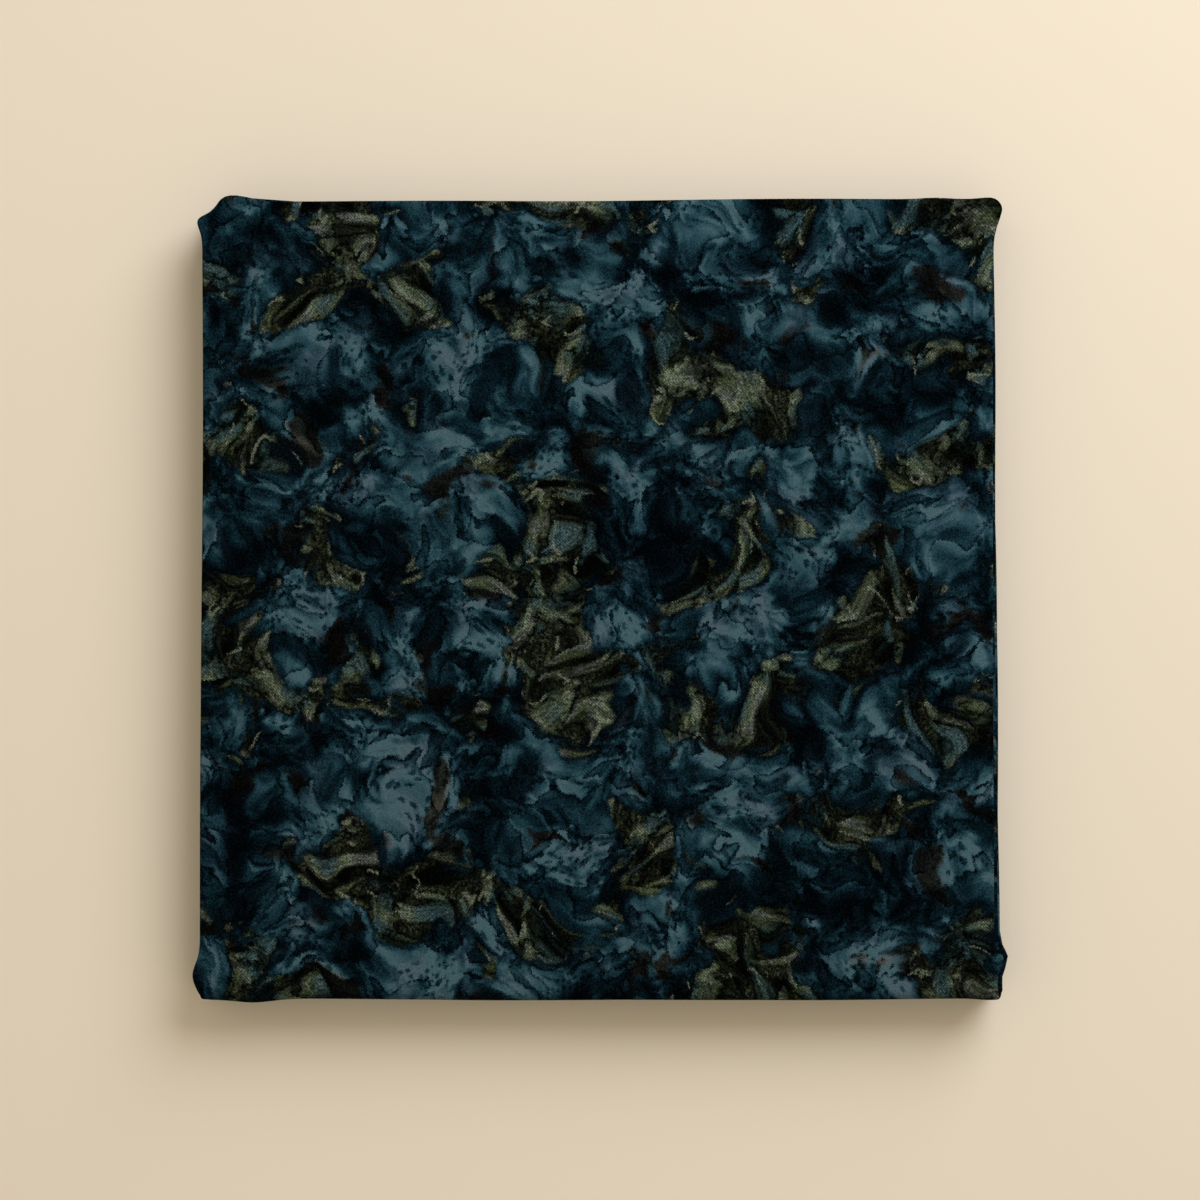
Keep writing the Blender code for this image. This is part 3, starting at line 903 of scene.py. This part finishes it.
def buildMottledCotton(values):
    dyeDrift, inkShores, crushedFolds = buildDyeDrift(), buildInkShores(), buildCrushedFolds()
    dyeBleed, dyeDots, twillWeave = buildDyeBleed(), buildDyeDots(), buildTwillWeave(twill)
    tornPieces = buildTornPieces(leafShapes)
    bladeBundles = buildBladeBundles(leafShapes, tornPieces)
    loosePetals = buildLoosePetals(leafShapes, tornPieces)
    material = bpy.data.materials.new("mottledCotton")
    material.use_nodes = True
    tree = material.node_tree
    tree.nodes.clear()

    def patch(name, place):
        pattern, reach = values["patches"][name]
        return remap(tree, noise(tree, place, **pattern), *reach)

    # places on the flat cloth in millimetres, then as the dye has bled and run
    flatMap = addNode(tree, "ShaderNodeUVMap", uv_map="flatCloth").outputs[0]
    flatPlace = scaled(tree, flatMap, 1000.0)
    threads = {"Vector": flatPlace, "Thread": values["thread"]}
    bleed = useGroup(tree, dyeBleed, threads | {"Bleed": values["bleed"]})
    wide = useGroup(tree, dyeDrift, {"Vector": bleed["Vector"]} | values["drifts"][0])[0]
    run = useGroup(tree, dyeDrift, {"Vector": wide} | values["drifts"][1])[0]

    # where the brown-black ground lies, and the ink that has gathered round it
    zoneNoise = noise(tree, wide, **values["zone"])
    zone = {name: remap(tree, zoneNoise, *edge) for name, edge in values["zoneEdges"].items()}

    # blue washes: soft glows, crushed into folds, calmer in some places than in others
    calm = patch("calm", wide)
    busy = times(tree, patch("busy", wide), loweredBy(tree, calm, values["calmedDetail"]))
    large, small = [useGroup(tree, crushedFolds, {"Vector": run} | fold)["Light"] for fold in values["folds"]]
    folds = blended(tree, (small, values["foldShares"][1]), (large, values["foldShares"][0]))
    light = blended(tree, (patch("clouds", run), values["cloudShare"]),
                    (patch("glow", wide), values["glowShare"]), (calm, values["calmShare"]))
    crushed = times(tree, remap(tree, folds, *values["foldLight"]),
                    loweredBy(tree, calm, values["calmedFolds"]))
    light = times(tree, light, maths(tree, "ADD", crushed, 1.0))
    shores = useGroup(tree, inkShores, {"Vector": run} | values["shores"])["Light"]
    ripples = useGroup(tree, inkShores, {"Vector": run} | values["ripples"])["Light"]
    ripples = tuned(tree, maths(tree, "SUBTRACT", ripples, 1.0),
                    times(tree, busy, values["rippleShare"]), 1.0)
    blots = tuned(tree, patch("blots", run),
                  times(tree, patch("blotZone", wide), busy), 1.0)
    dots = useGroup(tree, dyeDots, {"Vector": wide} | values["dots"])["Dot"]
    dots = times(tree, patch("dotZone", wide), tuned(tree, dots, *values["dotLight"]))
    rusty = patch("rusty", run)
    light = times(tree, light, patch("pools", run), zone["ink"], shores, ripples, blots,
                  maths(tree, "ADD", dots, 1.0), tuned(tree, rusty, *values["rustLight"]))
    blue = ramp(tree, light, values["blues"])
    blue = mixColours(tree, patch("dusky", wide), blue, values["dusk"], blend="MULTIPLY")
    blue = mixColours(tree, rusty, blue, values["rust"], blend="MULTIPLY")

    # brown-black ground with fine specks
    earth = times(tree, patch("specks", bleed["Vector"]), patch("ground", run))
    colour = mixColours(tree, zone["ground"], blue, ramp(tree, earth, values["earths"]))

    # bundles of blades, and petals over them
    drift = noise(tree, wide, **values["leafDrift"])
    layers = [("Blade", bladeBundles, layer) for layer in values["bundles"]]
    layers += [("Petal", loosePetals, layer) for layer in values["petals"]]
    for name, group, layer in layers:
        leaf = useGroup(tree, group, {"Vector": wide} | layer)
        tone = tuned(tree, leaf["Tint"], values["leafChance"], drift)
        tint = ramp(tree, remap(tree, tone, *values["leafTone"]), values["leaves"])
        tint = mixColours(tree, flipped(tree, leaf["Glow"]), tint, values["leafRim"], blend="MULTIPLY")
        lit = times(tree, tuned(tree, leaf["Glow"], *values["leafGlow"]),
                    tuned(tree, leaf["Streak"], *values["leafStreak"]))
        lined = mixColours(tree, lit, values["ink"], tint)
        rimmed = mixColours(tree, times(tree, leaf["Rim"], values["rimShare"]), lined, values["ink"])
        share = times(tree, maths(tree, "MAXIMUM", leaf[name], leaf["Rim"]), zone["leaves"])
        colour = mixColours(tree, share, colour, rimmed)

    # pale threads of undyed wax lines
    crest = useGroup(tree, crushedFolds, {"Vector": wide} | values["wax"])["Crest"]
    wax = times(tree, remap(tree, crest, *values["waxLine"]), patch("waxPieces", flatPlace), zone["wax"])
    colour = mixColours(tree, times(tree, wax, values["waxShare"]), colour, values["waxColour"])

    # the threads: painted shade of the ribs with the uneven yarn's tone, and pale fibre ends as painted sheen
    # on the fuzz
    weave = useGroup(tree, twillWeave, threads)
    grain = tuned(tree, bleed["Chance"], values["grain"], 1.0 - values["grain"] / 2)
    paintedRibShadeAndYarn = times(tree, tuned(tree, weave["Shade"], *values["threadShade"]),
                 remap(tree, light, *values["threadsOnPale"]))
    paintedRibShadeAndYarn = maths(tree, "MAXIMUM", maths(tree, "ADD", paintedRibShadeAndYarn, 1.0), values["darkestThread"])
    shade = times(tree, paintedRibShadeAndYarn, grain)
    shade = addNode(tree, "ShaderNodeCombineColor", {0: shade, 1: shade, 2: shade}).outputs[0]
    colour = mixColours(tree, 1.0, colour, shade, blend="MULTIPLY")
    # painted sheen: pale specks where the yarn's fuzz would catch the light
    ends = remap(tree, weave["Slub"], *values["fibreSheenReach"], 0.0, values["fibreSheenShare"])
    colour = mixColours(tree, ends, colour, values["fibreSheen"])
    bump = addNode(tree, "ShaderNodeBump", {"Height": weave["Height"], "Strength": values["ribStrength"],
                                            "Distance": values["ribHeight"]})
    shader = addNode(tree, "ShaderNodeBsdfPrincipled", {
        "Base Color": colour, "Roughness": values["roughness"], "Normal": bump.outputs[0],
        "Sheen Weight": values["sheen"], "Sheen Roughness": values["sheenRoughness"],
        "Specular IOR Level": values["gloss"]})
    addNode(tree, "ShaderNodeOutputMaterial", {"Surface": shader.outputs[0]})
    print("mottledCotton:", len(tree.nodes), "nodes")
    return material


cloth.data.materials.append(buildMottledCotton(mottledCotton))

studio = {
    "floorSize": 8.0,
    "floorColour": (0.79, 0.73, 0.60, 1.0),
    "floorRoughness": 0.9,
    "lampFrom": (0.57, 0.81, 0.72),
    "lampDistance": 1.7,
    "lampSize": 1.4,
    "lampPower": 25.0,
    "lampColour": (1.0, 1.0, 1.07),
    "fillColour": (1.0, 0.86, 0.68, 1.0),
    "fillLight": 0.56,
    # the camera looks down from a little to the front
    "cameraDistance": 1.15,
    "cameraForward": -0.032,
    "aim": (0.0, -0.0007, 0.0213),
    "frameWidth": 0.420,
}


def buildStudio(values):
    half = values["floorSize"] / 2
    mesh = bpy.data.meshes.new("floor")
    corners = [(-half, -half, 0), (half, -half, 0), (half, half, 0), (-half, half, 0)]
    mesh.from_pydata(corners, [], [(0, 1, 2, 3)])
    floor = addObject("floor", mesh)
    paper = bpy.data.materials.new("palePaper")
    paper.use_nodes = True
    shader = paper.node_tree.nodes["Principled BSDF"]
    shader.inputs["Base Color"].default_value = values["floorColour"]
    shader.inputs["Roughness"].default_value = values["floorRoughness"]
    mesh.materials.append(paper)

    aim = Vector(values["aim"])
    lamp = bpy.data.lights.new("softLamp", "AREA")
    lamp.shape = "DISK"
    lamp.size = values["lampSize"]
    lamp.energy = values["lampPower"]
    lamp.color = values["lampColour"]
    lampObject = addObject("softLamp", lamp)
    lampObject.location = aim + Vector(values["lampFrom"]).normalized() * values["lampDistance"]
    lampObject.rotation_euler = (aim - lampObject.location).to_track_quat("-Z", "Y").to_euler()
    world = bpy.data.worlds.new("studioAir")
    world.use_nodes = True
    air = world.node_tree.nodes["Background"].inputs
    air["Color"].default_value = values["fillColour"]
    air["Strength"].default_value = values["fillLight"]
    bpy.context.scene.world = world

    lens = bpy.data.cameras.new("photoView")
    lens.sensor_fit = "HORIZONTAL"
    lens.lens = lens.sensor_width * values["cameraDistance"] / values["frameWidth"]
    camera = addObject("photoView", lens)
    camera.location = aim + Vector((0, values["cameraForward"], values["cameraDistance"]))
    camera.rotation_euler = (aim - camera.location).to_track_quat("-Z", "Y").to_euler()
    bpy.context.scene.camera = camera
    bpy.context.scene.view_settings.view_transform = "Standard"
    print("studio: floor, lamp, camera")


buildStudio(studio)
